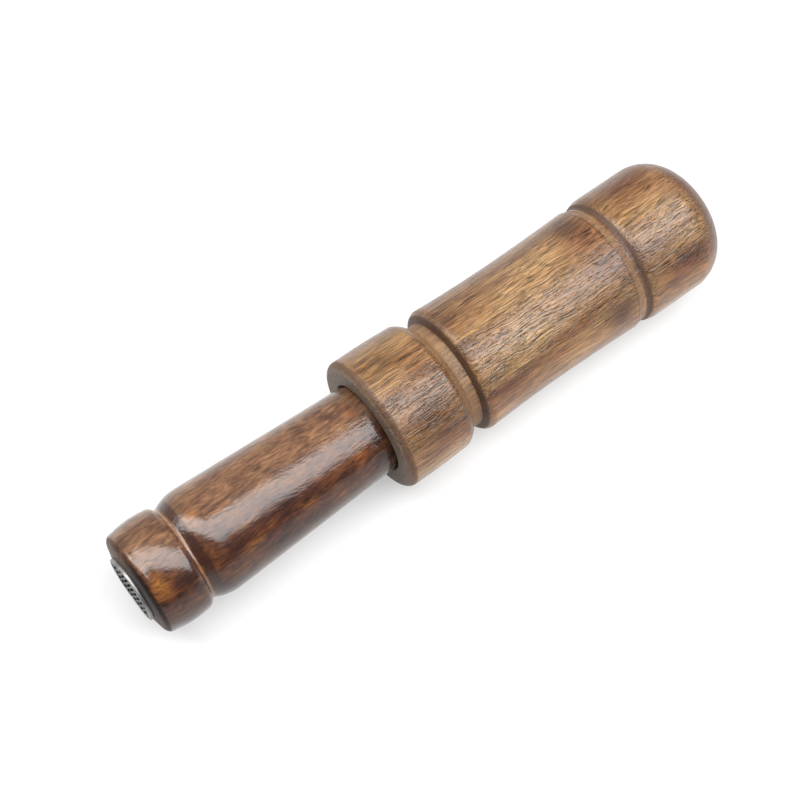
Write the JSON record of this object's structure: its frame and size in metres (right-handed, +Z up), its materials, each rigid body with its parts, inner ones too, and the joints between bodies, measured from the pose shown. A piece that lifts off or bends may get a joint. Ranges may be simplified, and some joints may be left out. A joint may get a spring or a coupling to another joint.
{
  "type": "grunt tube call",
  "caption": "Turned wooden grunt tube call: grooved barrel with a domed outlet, beaded mouthpiece on O-rings in its socket, and a tunable reed cartridge inside.",
  "frame": {"origin": "on the surface the call lies on, under the middle of its length", "axes": "+X along the call's axis from the mouthpiece to the outlet, +Z up"},
  "size_m": [0.1436, 0.03, 0.03],
  "materials": {
    "barrel_wood": "satin oiled and stained, open pores",
    "mouthpiece_wood": "gloss lacquer",
    "ferrule_metal": "turned satin",
    "screen_metal": "stamped, dull satin",
    "seal_rubber": "matte",
    "holder_plastic": "moulded matte",
    "reed_film": "smooth film",
    "wedge_rubber": "matte"
  },
  "bodies": {
    "barrel": {"barrel": "barrel_wood"},
    "tenon_seals": {"tenon_seal_1": "seal_rubber", "tenon_seal_2": "seal_rubber"},
    "mouthpiece": {"mouthpiece": "mouthpiece_wood", "inlet_ferrule": "ferrule_metal", "inlet_screen": "screen_metal"},
    "reed_cartridge": {"reed_holder": "holder_plastic", "holder_seal": "seal_rubber", "reed_root": "reed_film", "reed_wedge": "wedge_rubber"},
    "tuning_band": {"tuning_band": "seal_rubber"},
    "reed_tongue": {"reed_tongue": "reed_film"}
  },
  "joints": [
    {"name": "mouthpiece_pull", "type": "slide", "parent": "barrel", "child": "tenon_seals", "axis": [-1, 0, 0], "range_m": [0, 0.04]},
    {"name": "mouthpiece_turn", "type": "hinge", "parent": "tenon_seals", "child": "mouthpiece", "pos_m": [-0.0024, 0, 0.015], "axis": [1, 0, 0], "continuous": true},
    {"name": "cartridge_pull", "type": "slide", "parent": "mouthpiece", "child": "reed_cartridge", "axis": [1, 0, 0], "range_m": [0, 0.06]},
    {"name": "band_slide", "type": "slide", "parent": "reed_cartridge", "child": "tuning_band", "axis": [1, 0, 0], "range_m": [0, 0.008]},
    {"name": "reed_flex", "type": "hinge", "parent": "reed_cartridge", "child": "reed_tongue", "pos_m": [-0.0184, 0, 0.01617], "axis": [0, 1, 0], "range_deg": [-2.6, 1.5], "stiffness_Nm_per_rad": 0.002}
  ]
}
